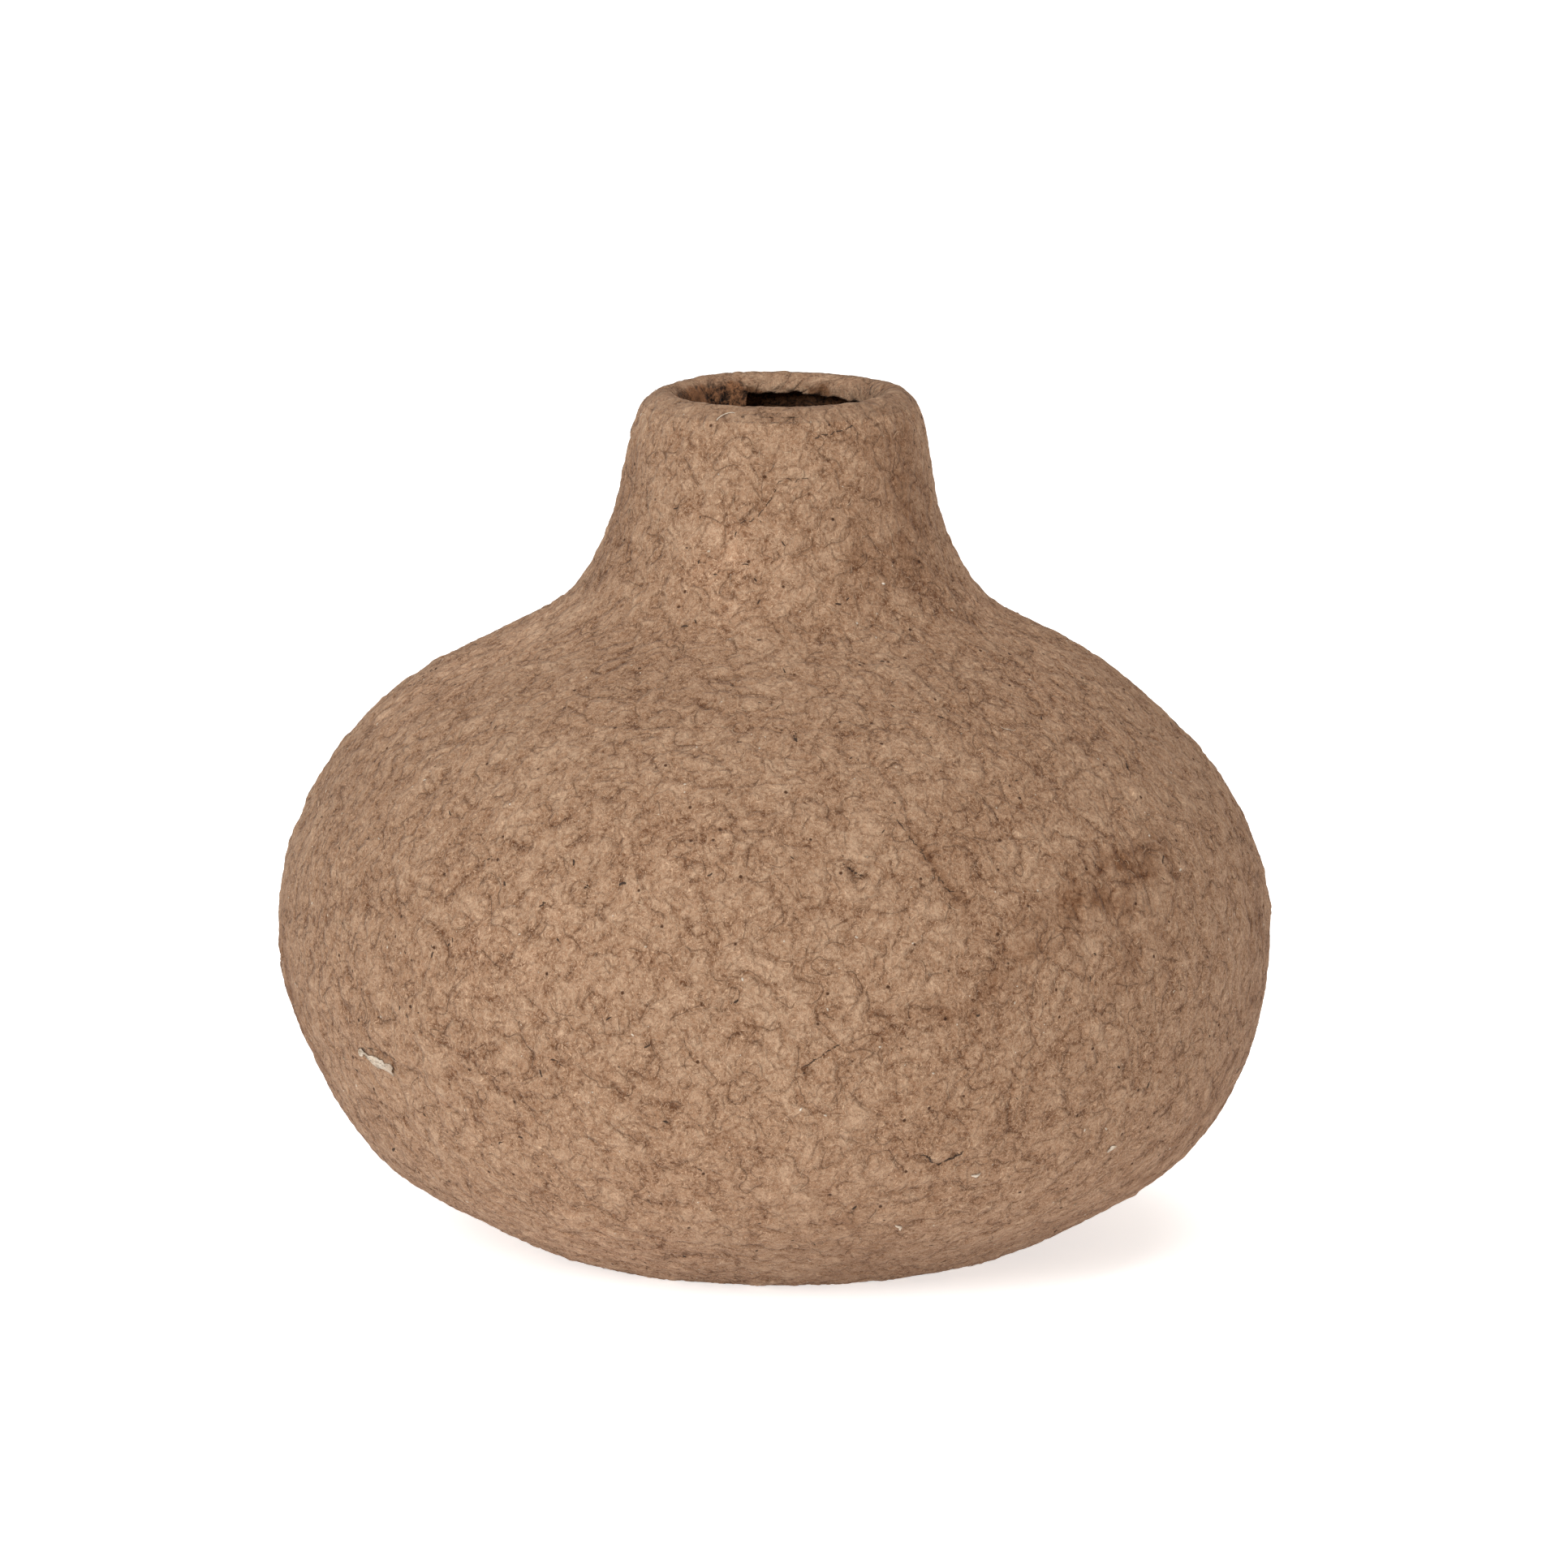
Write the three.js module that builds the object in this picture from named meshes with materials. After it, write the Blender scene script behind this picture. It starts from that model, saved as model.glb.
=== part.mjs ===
// A small round bottle-necked vase of papier-mache: stiff paper shells glued edge to edge, paper bands
// over the two joints, a skin of brown paper pulp over everything, and a rolled paper lip.
// Millimetres, +Z up. The origin is the centre of the flat foot, on the surface that the vase stands on.
import * as THREE from "three";

// Driving dimensions.
const HEIGHT = 155;
const FOOT_RADIUS = 43.7; // the flat that the vase rests on
const FLOOR = 7; // thickness of the bottom
const FLOOR_FLAT = 34.7; // radius of the level part of the floor inside
const FLOOR_EDGE = 42.7; // radius at which the rising floor meets the wall
const FLOOR_RISE = 0.6; // how much it has risen there
const WALL = 7; // whole wall, skin and shell together
const SKIN = 2.6; // pulp skin
const BAND = 0.5; // one glued paper band
const GAP = 0.3; // clearance kept between neighbouring pieces
const BAND_DEPTH = SKIN - BAND; // how far below the surface a band's outer face lies
const BAND_HALF_WIDTH = 8;
const LIP_TURN_IN = 18.4; // radius of the edge that is turned in at the mouth
const LIP_UNDERSIDE = 150; // height of the lip's underside at that edge
const SCRAP_THICKNESS = 0.25;

// Heights at which the pieces meet.
const SKIN_BOTTOM = 0.5;
const BASE_JOINT = 17;
const BELLY_JOINT = 57;
const NECK_TOP = 147.6; // the shell of the neck ends here and the lip sits on it
const LIP_JOINT = 152.7; // the skin laps up the outside of the lip to here

// How finely the round forms are divided.
const SEGMENTS = 48;
const STATION_STEP = 8; // along the outline
const STATION_CLEARANCE = 3.5; // from an ordinary station to one that a joint needs

// The outline, from the edge of the foot over the belly, the shoulder and the neck to the lip, and over
// the lip into the mouth: [radius, height].
const OUTLINE = [
  [44, 0], [52, 3], [59.2, 7], [72, 15], [81, 26], [87.6, 41], [90, 57], [87.5, 73], [79.6, 87],
  [72.5, 95], [64, 102], [47.4, 111.4], [39, 116], [33.2, 124], [29, 134], [27.2, 145],
  [25.9, 150.2], [24.2, 153.2], [21.5, HEIGHT], [18.8, 154.2], [17.3, 151.6],
];

// The vase was built up by hand, so its axis wanders sideways a little: [height, offset along X].
const LEAN = [
  [0, 1], [33, 1.5], [50, 0.2], [79, -0.4], [95, -1.5], [114, 0.5], [130, 0.4], [HEIGHT, 1],
];

// Flats and swellings left by the hands: bearing in degrees from +X, height, push outwards, spread.
const HAND_MARKS = [
  { bearing: 180, height: 103, push: 0.7, spread: 6 },
  { bearing: 180, height: 116, push: -0.8, spread: 5 },
  { bearing: 180, height: 54, push: 0.3, spread: 8 },
  { bearing: 184, height: 12.5, push: 0.5, spread: 5 },
  { bearing: 200, height: 6.5, push: -1.8, spread: 8 },
  { bearing: 0, height: 117, push: -0.5, spread: 5 },
  { bearing: 0, height: 97, push: 0.3, spread: 5 },
  { bearing: 0, height: 30, push: -0.4, spread: 7 },
  { bearing: 4, height: 18, push: 0.5, spread: 5 },
  { bearing: 48, height: 84, push: -0.9, spread: 16 },
  { bearing: 96, height: 30, push: -0.8, spread: 14 },
  { bearing: 132, height: 92, push: 0.8, spread: 15 },
  { bearing: -60, height: 78, push: -0.5, spread: 15 },
  { bearing: -118, height: 34, push: 0.5, spread: 14 },
];

// White scraps of unpulped paper stuck in the skin: bearing, height, turn of the long way, outline.
const SCRAPS = [
  {
    name: "white_paper_scrap",
    bearing: 215.9,
    height: 42,
    turn: 0,
    outline: [[-4.9, 1.8], [-3.9, 2], [-3.5, 1.6], [-1.8, 1.2], [-0.1, 1.6], [2.2, 0.9], [2.7, 0.3],
      [4.7, 0.7], [5.7, 0.3], [4.7, -0.6], [5, -1.5], [4.5, -1.9], [3.2, -0.9], [0.6, -0.9],
      [-1.7, 0.5], [-3.5, 1.1], [-4.2, 0.6], [-5.4, 1]],
  },
  {
    name: "paper_fleck_right",
    bearing: -45,
    height: 28.2,
    turn: 24,
    outline: [[-1.1, -0.2], [-0.1, 0.5], [0.9, 0.4], [0.2, -0.5]],
  },
  {
    name: "paper_fleck_front",
    bearing: -65.4,
    height: 26.8,
    turn: 4,
    outline: [[-0.9, 0.2], [0, 0.1], [0.9, 0.3], [0, -0.5]],
  },
  {
    name: "paper_fleck_low",
    bearing: -73.7,
    height: 17,
    turn: -20,
    outline: [[-1, 0.2], [0.6, 0.3], [0.9, -0.7], [0.4, -0.5], [0.1, -0.1]],
  },
];

const paper = (color, roughness = 0.95) =>
  new THREE.MeshStandardMaterial({ color, roughness, metalness: 0 });
const pulpSkin = paper("#a98769");
const rolledPaper = paper("#a3826a", 0.9);
const innerShell = paper("#6b4a36");
const bandPaper = paper("#9a7b5e", 0.85);
const whitePaper = paper("#e9e4db", 0.85);

// The outline as a smooth curve, measured along its own length.
const outline = new THREE.CatmullRomCurve3(
  OUTLINE.map(([radius, height]) => new THREE.Vector3(radius, height, 0)),
  false,
  "centripetal",
);
const LENGTH_DIVISIONS = 800;
outline.arcLengthDivisions = LENGTH_DIVISIONS;
const OUTLINE_LENGTH = outline.getLength();

// The point of the outline at a distance along it, sunk below the surface by a depth.
function layer(along, depth) {
  const at = Math.min(along / OUTLINE_LENGTH, 1);
  const point = outline.getPointAt(at);
  const tangent = outline.getTangentAt(at);
  return new THREE.Vector2(point.x - depth * tangent.y, point.y + depth * tangent.x);
}

// The distance along the outline to the crest of the lip, its highest point.
const CREST_SEARCH_STEP = 0.1;
let alongCrest = OUTLINE_LENGTH;
while (layer(alongCrest - CREST_SEARCH_STEP, 0).y > layer(alongCrest, 0).y) {
  alongCrest -= CREST_SEARCH_STEP;
}

// The distance along the outline at which it first reaches a height.
const ALONG_TOLERANCE = 1e-4;
function alongAt(height) {
  let low = 0;
  let high = alongCrest;
  while (high - low > ALONG_TOLERANCE) {
    const middle = (low + high) / 2;
    if (layer(middle, 0).y < height) low = middle;
    else high = middle;
  }
  return low;
}
const HALF_GAP = GAP / 2;
const skinStart = alongAt(SKIN_BOTTOM);
const baseJoint = alongAt(BASE_JOINT);
const bellyJoint = alongAt(BELLY_JOINT);
const neckTop = alongAt(NECK_TOP);
const lipJoint = alongAt(LIP_JOINT);
const bandedJoints = [baseJoint, bellyJoint];

// Every shell is divided at the same stations, so that neighbouring layers stay parallel.
const jointStations = bandedJoints.flatMap((joint) => [
  joint - BAND_HALF_WIDTH,
  joint,
  joint + BAND_HALF_WIDTH,
]);
const ordinaryStations = Array.from(
  { length: Math.floor(OUTLINE_LENGTH / STATION_STEP) },
  (_, i) => (i + 1) * STATION_STEP,
).filter((along) => jointStations.every((joint) => Math.abs(joint - along) > STATION_CLEARANCE));
const STATIONS = [...jointStations, ...ordinaryStations].sort((a, b) => a - b);
const stationsBetween = (from, to) => [
  from,
  ...STATIONS.filter((s) => s > from + GAP && s < to - GAP),
  to,
];

// Interpolates the sideways lean smoothly between its given heights.
function leanAt(height) {
  const last = LEAN.length - 1;
  const next = LEAN.findIndex(([level]) => level > height);
  if (next < 0) return LEAN[last][1];
  if (next === 0) return LEAN[0][1];
  const [lowLevel, lowOffset] = LEAN[next - 1];
  const [highLevel, highOffset] = LEAN[next];
  const share = THREE.MathUtils.smoothstep(height, lowLevel, highLevel);
  return THREE.MathUtils.lerp(lowOffset, highOffset, share);
}

// The centre of each hand mark on the undisturbed surface.
const onSurface = (bearing, height) => {
  const radius = layer(alongAt(height), 0).x;
  const angle = THREE.MathUtils.degToRad(bearing);
  return new THREE.Vector3(radius * Math.cos(angle), radius * Math.sin(angle), height);
};
const marks = HAND_MARKS.map((mark) => ({ ...mark, centre: onSurface(mark.bearing, mark.height) }));

// Moves one point of a true round form to where the hands left it. Heights stay as they are.
function handMade(point) {
  const outwards = new THREE.Vector3(point.x, point.y, 0).normalize();
  const push = marks.reduce(
    (sum, m) => sum + m.push * Math.exp(-point.distanceToSquared(m.centre) / (2 * m.spread ** 2)),
    0,
  );
  const moved = point.clone().addScaledVector(outwards, push);
  moved.x += leanAt(point.z);
  return moved;
}

function shapeByHand(geometry) {
  const position = geometry.getAttribute("position");
  const point = new THREE.Vector3();
  for (let i = 0; i < position.count; i++) {
    const moved = handMade(point.fromBufferAttribute(position, i));
    position.setXYZ(i, moved.x, moved.y, moved.z);
  }
  geometry.computeVertexNormals();
  return geometry;
}

// Turns a section of [radius, height] points about the vertical axis.
function turned(name, section, material) {
  const geometry = new THREE.LatheGeometry(section, SEGMENTS);
  geometry.rotateX(Math.PI / 2);
  const mesh = new THREE.Mesh(shapeByHand(geometry), material);
  mesh.name = name;
  return mesh;
}

// A ring of wall between two stations and two depths below the surface.
function wallSection(from, to, outerDepth, innerDepth) {
  const stations = stationsBetween(from, to);
  const outer = stations.map((s) => layer(s, outerDepth));
  const inner = stations.map((s) => layer(s, innerDepth)).reverse();
  return [...outer, ...inner, outer[0]];
}

const SHELL_DEPTH = SKIN + GAP;

// The shallow dish that makes the bottom: flat underneath, with its wall rising to the first joint.
function baseDish() {
  const stations = stationsBetween(skinStart, baseJoint - HALF_GAP);
  const outer = stations.map((s) => layer(s, SHELL_DEPTH));
  const floorClearance = 1;
  const inner = stations
    .map((s) => layer(s, WALL))
    .filter((p) => p.y > FLOOR + floorClearance)
    .reverse();
  const section = [
    new THREE.Vector2(0, 0),
    new THREE.Vector2(FOOT_RADIUS, 0),
    ...outer,
    ...inner,
    new THREE.Vector2(FLOOR_EDGE, FLOOR + FLOOR_RISE),
    new THREE.Vector2(FLOOR_FLAT, FLOOR),
    new THREE.Vector2(0, FLOOR),
  ];
  return turned("base_dish", section, innerShell);
}

const bellyRing = () =>
  turned(
    "belly_ring",
    wallSection(baseJoint + HALF_GAP, bellyJoint - HALF_GAP, SHELL_DEPTH, WALL),
    innerShell,
  );

const upperDome = () =>
  turned(
    "upper_dome",
    wallSection(bellyJoint + HALF_GAP, neckTop - HALF_GAP, SHELL_DEPTH, WALL),
    innerShell,
  );

const jointBand = (name, joint) =>
  turned(
    name,
    wallSection(joint - BAND_HALF_WIDTH + GAP, joint + BAND_HALF_WIDTH - GAP, BAND_DEPTH, SKIN),
    bandPaper,
  );

// The pulp skin, thinner where it passes over a band.
function pulpCoat() {
  const stations = stationsBetween(skinStart, lipJoint - HALF_GAP);
  const depthAt = (s) =>
    bandedJoints.some((joint) => Math.abs(s - joint) < BAND_HALF_WIDTH) ? BAND_DEPTH - GAP : SKIN;
  const bothSides = (s) => [...new Set([depthAt(s - HALF_GAP), depthAt(s + HALF_GAP)])];
  const outer = stations.map((s) => layer(s, 0));
  const inner = stations.flatMap((s) => bothSides(s).map((depth) => layer(s, depth))).reverse();
  return turned("pulp_coat", [...outer, ...inner, outer[0]], pulpSkin);
}

// The lip: a roll of finer paper on top of the neck, turned in at the mouth. The skin laps over the
// lower half of its outside.
function rimRoll() {
  const start = lipJoint + HALF_GAP;
  const foot = neckTop + HALF_GAP;
  const crestSteps = 7;
  const lapSteps = 2;
  const steps = (from, to, count, depth) =>
    Array.from({ length: count + 1 }, (_, i) => layer(from + ((to - from) * i) / count, depth));
  const over = steps(start, OUTLINE_LENGTH, crestSteps, 0);
  const underside = [new THREE.Vector2(LIP_TURN_IN, LIP_UNDERSIDE), layer(foot, WALL - HALF_GAP)];
  const lap = steps(foot, start, lapSteps, SHELL_DEPTH);
  return turned("rim_roll", [...over, ...underside, ...lap, over[0]], rolledPaper);
}

// A scrap of paper lying on the skin, its back just clear of the surface.
function scrap({ name, bearing, height, turn, outline: corners }) {
  const shape = new THREE.Shape(corners.map(([x, y]) => new THREE.Vector2(x, y)));
  const geometry = new THREE.ExtrudeGeometry(shape, { depth: SCRAP_THICKNESS, bevelEnabled: false });
  const mesh = new THREE.Mesh(geometry, whitePaper);
  mesh.name = name;
  const angle = THREE.MathUtils.degToRad(bearing);
  const tangent = outline.getTangentAt(alongAt(height) / OUTLINE_LENGTH);
  const round = new THREE.Vector3(-Math.sin(angle), Math.cos(angle), 0);
  const upwards = new THREE.Vector3(tangent.x * Math.cos(angle), tangent.x * Math.sin(angle), tangent.y);
  const normal = round.clone().cross(upwards);
  mesh.quaternion.setFromRotationMatrix(new THREE.Matrix4().makeBasis(round, upwards, normal));
  mesh.rotateZ(THREE.MathUtils.degToRad(turn));
  mesh.position.copy(handMade(onSurface(bearing, height))).addScaledVector(normal, GAP);
  return mesh;
}

const vase = new THREE.Group();
vase.name = "vase";
vase.add(
  baseDish(),
  bellyRing(),
  upperDome(),
  jointBand("base_joint_band", baseJoint),
  jointBand("belly_joint_band", bellyJoint),
  pulpCoat(),
  rimRoll(),
  ...SCRAPS.map(scrap),
);

export default vase;
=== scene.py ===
"""A papier-mache bud vase: lumpy brown paper pulp over glued paper shells, with a rolled paper lip.

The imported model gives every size. Its smooth solids are measured with rays, and the fibrous, wrinkled
surface that the real vase has is built on what they measure. Lengths inside this file are millimetres
where a name ends in _MM or a comment says so; Blender's objects are in metres.
"""

import math

import bmesh
import bpy
import numpy as np
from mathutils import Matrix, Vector
from mathutils.bvhtree import BVHTree


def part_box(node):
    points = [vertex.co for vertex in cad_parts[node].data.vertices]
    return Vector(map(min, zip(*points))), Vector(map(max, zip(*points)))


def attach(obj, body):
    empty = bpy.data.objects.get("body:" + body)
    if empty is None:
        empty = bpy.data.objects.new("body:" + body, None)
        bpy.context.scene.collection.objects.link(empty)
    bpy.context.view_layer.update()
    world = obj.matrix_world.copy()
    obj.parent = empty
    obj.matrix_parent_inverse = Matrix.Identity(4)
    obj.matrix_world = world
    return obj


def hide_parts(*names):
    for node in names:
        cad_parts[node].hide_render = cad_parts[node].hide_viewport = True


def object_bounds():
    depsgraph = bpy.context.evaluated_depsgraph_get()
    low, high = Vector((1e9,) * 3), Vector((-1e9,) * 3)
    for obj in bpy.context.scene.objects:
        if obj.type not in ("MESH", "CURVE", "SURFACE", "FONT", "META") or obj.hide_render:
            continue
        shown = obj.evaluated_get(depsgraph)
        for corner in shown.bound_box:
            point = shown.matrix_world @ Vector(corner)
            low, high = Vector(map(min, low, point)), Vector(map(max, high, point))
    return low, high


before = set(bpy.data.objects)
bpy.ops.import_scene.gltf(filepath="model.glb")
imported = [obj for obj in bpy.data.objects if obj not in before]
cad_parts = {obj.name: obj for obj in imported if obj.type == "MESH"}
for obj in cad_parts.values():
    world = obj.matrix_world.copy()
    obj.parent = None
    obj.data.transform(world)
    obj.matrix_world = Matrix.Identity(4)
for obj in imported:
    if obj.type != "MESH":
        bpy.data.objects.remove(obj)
CAD_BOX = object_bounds()

MM = 0.001
HEIGHT_MM = CAD_BOX[1][2] / MM
FAR_MM = 400.0  # outside the vase, where measuring rays start

# How finely the surfaces are divided.
COLUMNS = 1080  # round the outside
ROW_STEP_MM = 0.55  # along the outline
INNER_COLUMNS = 320  # round the inside
INNER_ROW_STEP_MM = 0.8
HIDDEN_ROWS = 60  # across a face that is glued to another piece

# Depths below the surface.
SKIN_MM = 2.4  # the back of the pulp skin
SKIN_OVER_BAND_MM = 1.6
BAND_MM = (1.95, 2.45)  # the two faces of a joint band
SHELL_MM = 2.8
WALL_MM = 7.0  # the inside of the vase
TAU = 2 * math.pi


# ---------- noise

LATTICE = 256  # cells before the noise repeats, a power of two
NOISE_GAIN = 1.7  # brings the noise to about -1 to 1


def smoothstep(low, high, x):
    """0 below low and 1 above high, with a soft rise between. It falls where high is below low."""
    t = np.clip((x - low) / (high - low), 0.0, 1.0)
    return t * t * (3 - 2 * t)


def gradient_noise(points, seed):
    """Perlin's gradient noise, about -1 to 1, at an array of points one unit per lattice cell."""
    rng = np.random.default_rng(seed)
    order = rng.permutation(LATTICE).astype(np.int32)
    slopes = rng.normal(size=(LATTICE, 3))
    slopes = (slopes / np.linalg.norm(slopes, axis=1, keepdims=True)).astype(np.float32)
    flat = points.reshape(-1, 3).astype(np.float32)
    cell = np.floor(flat).astype(np.int32)
    local = flat - cell
    fade = local ** 3 * (local * (local * 6 - 15) + 10)
    total = np.zeros(len(flat), np.float32)
    for corner in np.ndindex(2, 2, 2):
        step = np.array(corner, np.int32)
        x, y, z = ((cell + step) & (LATTICE - 1)).T
        slope = slopes[order[(order[(order[x] + y) & (LATTICE - 1)] + z) & (LATTICE - 1)]]
        share = np.where(step, fade, 1 - fade).prod(axis=1)
        total += share * ((local - step) * slope).sum(axis=1)
    return (total * NOISE_GAIN).reshape(points.shape[:-1])


def noise(points, size, seed):
    """Gradient noise whose features are about size millimetres across."""
    return gradient_noise(points / size, seed)


def warped(points, size, strength, seed):
    """The points, pushed about by noise, so that what is drawn on them loses its regular lattice."""
    pushes = [noise(points, size, seed + i) for i in range(3)]
    return points + strength * np.stack(pushes, axis=-1)


# ---------- the form, measured on the solids

def ray_target(names):
    """One ray-casting tree, in millimetres, over the named CAD nodes."""
    corners, faces = [], []
    for name in names:
        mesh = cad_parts[name].data
        start = len(corners)
        corners += [v.co / MM for v in mesh.vertices]
        faces += [[start + i for i in p.vertices] for p in mesh.polygons]
    return BVHTree.FromPolygons(corners, faces)


OUTSIDE = ray_target(["pulp_coat", "rim_roll", "base_dish"])
RIM_LOW, RIM_HIGH = (np.array(corner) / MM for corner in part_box("rim_roll"))
COAT_TOP_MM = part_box("pulp_coat")[1][2] / MM
LIP_CENTRE = (RIM_LOW[:2] + RIM_HIGH[:2]) / 2


def first_hit(origin, direction):
    """Where a ray first meets the outside of the solids."""
    return np.array(OUTSIDE.ray_cast(Vector(origin), Vector(direction))[0])


def ring_angles(columns):
    """Evenly spaced angles round a ring."""
    return np.arange(columns) * TAU / columns


def measured_ring(height, bearings=48):
    """Centre and mean radius of the outside at one height."""
    angles = ring_angles(bearings)
    hits = np.array([
        first_hit((FAR_MM * math.cos(a), FAR_MM * math.sin(a), height), (-math.cos(a), -math.sin(a), 0))
        for a in angles
    ])
    centre = (hits.min(axis=0) + hits.max(axis=0))[:2] / 2
    return centre, np.hypot(*(hits[:, :2] - centre).T).mean()


def measured_height(radius, centre, bearings=48):
    """The usual height of the surface under a circle."""
    starts = [
        (centre[0] + radius * math.cos(a), centre[1] + radius * math.sin(a), FAR_MM)
        for a in ring_angles(bearings)
    ]
    return np.median([first_hit(start, (0, 0, -1))[2] for start in starts])


def gaussian_rows(values, sigma_steps, wrap=False):
    """Smooths an array along its first axis with a bell of that many steps."""
    reach = max(1, int(3 * sigma_steps))
    weights = np.exp(-0.5 * (np.arange(-reach, reach + 1) / sigma_steps) ** 2)
    weights /= weights.sum()
    if wrap:
        padded = np.concatenate([values[-reach:], values, values[:reach]])
    else:
        head = 2 * values[:1] - values[reach:0:-1]
        tail = 2 * values[-1:] - values[-2:-reach - 2:-1]
        padded = np.concatenate([head, values, tail])
    return sum(w * padded[i:i + len(values)] for i, w in enumerate(weights))


FOOT_EDGE_MM, FOOT_STEP_MM = 44.0, (0.4, 0.35)  # its radius, and the step out and up to the next point
WALL_FROM_MM, WALL_TO_MM, WALL_RINGS = 1.2, HEIGHT_MM - 2.6, 150
LIP_INNER_MM, LIP_RINGS = 17.8, 12
LIP_END_STEP_MM = (0.3, 1.6)  # in and down, from the last measured ring of the lip
OUTLINE_STEP_MM = 0.5
BODY_SMOOTHING_MM, LIP_SMOOTHING_MM = 3.6, 0.7  # they take out the facets, which are small on the lip
FINE_ABOVE_RIM_LOW_MM, BLEND_MM = 3, 9  # the lip and the foot's edge get the finer smoothing


def measured_outline():
    """The mean outline from the edge of the foot, over belly and neck, to the inside of the lip.

    Returns the distance along it, and for each of those the radius, height, and ring centre's x and y.
    """
    wall_heights = np.linspace(WALL_FROM_MM, WALL_TO_MM, WALL_RINGS)
    rings = [measured_ring(h) for h in wall_heights]
    wall = [(radius, h, *centre) for h, (centre, radius) in zip(wall_heights, rings)]
    foot_centre, lip_centre = rings[0][0], rings[-1][0]
    foot = [(FOOT_EDGE_MM + FOOT_STEP_MM[0] * i, FOOT_STEP_MM[1] * i, *foot_centre) for i in range(2)]
    lip_radii = np.linspace(wall[-1][0] - OUTLINE_STEP_MM, LIP_INNER_MM, LIP_RINGS)
    lip = [(r, measured_height(r, lip_centre), *lip_centre) for r in lip_radii]
    lip.append((LIP_INNER_MM - LIP_END_STEP_MM[0], lip[-1][1] - LIP_END_STEP_MM[1], *lip_centre))
    path = np.array(foot + wall + lip)
    along = np.concatenate([[0], np.cumsum(np.hypot(*np.diff(path[:, :2], axis=0).T))])
    even = np.arange(0, along[-1], OUTLINE_STEP_MM)
    path = np.stack([np.interp(even, along, column) for column in path.T], axis=1)
    smooth = gaussian_rows(path, BODY_SMOOTHING_MM / OUTLINE_STEP_MM)
    fine = gaussian_rows(path, LIP_SMOOTHING_MM / OUTLINE_STEP_MM)
    lip_start = even[np.argmax(path[:, 1] > RIM_LOW[2] + FINE_ABOVE_RIM_LOW_MM)]
    lip_share = smoothstep(lip_start - BLEND_MM, lip_start, even)
    foot_share = smoothstep(BLEND_MM, 0, even)
    share = np.maximum(lip_share, foot_share)[:, None]
    return even, smooth * (1 - share) + fine * share


OUTLINE_ALONG, OUTLINE_PATH = measured_outline()
OUTLINE_LENGTH_MM = OUTLINE_ALONG[-1]


def outline_at(along):
    """Radius, height, centre x and y, and the outward normal (radial, up) at distances along."""
    radius, height, cx, cy = (np.interp(along, OUTLINE_ALONG, c) for c in OUTLINE_PATH.T)
    slope = np.gradient(OUTLINE_PATH[:, :2], OUTLINE_ALONG, axis=0)
    dr, dz = (np.interp(along, OUTLINE_ALONG, c) for c in slope.T)
    size = np.hypot(dr, dz)
    return radius, height, cx, cy, dz / size, -dr / size


def along_at(height):
    """How far along the outline a height is first reached."""
    return OUTLINE_ALONG[np.argmax(OUTLINE_PATH[:, 1] >= height)]


LIFT_COLUMNS, LIFT_STEP_MM, LIFT_MARGIN_MM = 180, 2.0, 3.0
LIFT_REACH_MM = 5.0  # how far out and in the solids are looked for
LIFT_SMOOTHING_MM, USUAL_RADIUS_MM = 5.0, 60.0


def measured_lifts():
    """How far the solids stand out from the mean outline: the hand's flats and swellings."""
    along = np.arange(LIFT_MARGIN_MM, OUTLINE_LENGTH_MM - LIFT_MARGIN_MM, LIFT_STEP_MM)
    radius, height, cx, cy, nr, nz = outline_at(along)
    angles = ring_angles(LIFT_COLUMNS)
    lifts = np.zeros((len(along), LIFT_COLUMNS))
    for j, a in enumerate(angles):
        c, s = math.cos(a), math.sin(a)
        for i in range(len(along)):
            base = np.array([cx[i] + radius[i] * c, cy[i] + radius[i] * s, height[i]])
            normal = np.array([nr[i] * c, nr[i] * s, nz[i]])
            start = Vector(base + LIFT_REACH_MM * normal)
            hit = OUTSIDE.ray_cast(start, Vector(-normal), 2 * LIFT_REACH_MM)[0]
            if hit is not None:
                lifts[i, j] = (np.array(hit) - base) @ normal
    lifts = gaussian_rows(lifts, LIFT_SMOOTHING_MM / LIFT_STEP_MM)
    column_mm = TAU * USUAL_RADIUS_MM / LIFT_COLUMNS
    return along, gaussian_rows(lifts.T, LIFT_SMOOTHING_MM / column_mm, wrap=True).T


LIFT_ALONG, LIFTS = measured_lifts()


def lift_at(along, angles):
    """The measured lifts, read between their samples."""
    rows = np.interp(along, LIFT_ALONG, np.arange(len(LIFT_ALONG)))
    low = np.minimum(rows.astype(int), len(LIFT_ALONG) - 2)
    count = LIFTS.shape[1]
    spots = angles / TAU * count
    left = np.floor(spots).astype(int)
    up, across = rows - low, spots - left
    left, right = left % count, (left + 1) % count
    lower = LIFTS[low, left] * (1 - across) + LIFTS[low, right] * across
    upper = LIFTS[low + 1, left] * (1 - across) + LIFTS[low + 1, right] * across
    return lower * (1 - up) + upper * up


# The lip is a little higher at the back than at the front: how much, and the heights where that sets in.
LIP_TILT_MM, LIP_TILT_HEIGHTS_MM = 0.42, (145.0, 152.5)


def surface_at(along, angles, depth=0.0):
    """Points and normals of the plain surface in mm, sunk by a depth."""
    along, angles = np.broadcast_arrays(along, angles)
    radius, height, cx, cy, nr, nz = outline_at(along)
    c, s = np.cos(angles), np.sin(angles)
    normals = np.stack([nr * c, nr * s, nz], axis=-1)
    tilt = LIP_TILT_MM * s * smoothstep(*LIP_TILT_HEIGHTS_MM, height)
    base = np.stack([cx + radius * c, cy + radius * s, height + tilt], axis=-1)
    return base + (lift_at(along, angles) - depth)[..., None] * normals, normals


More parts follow.
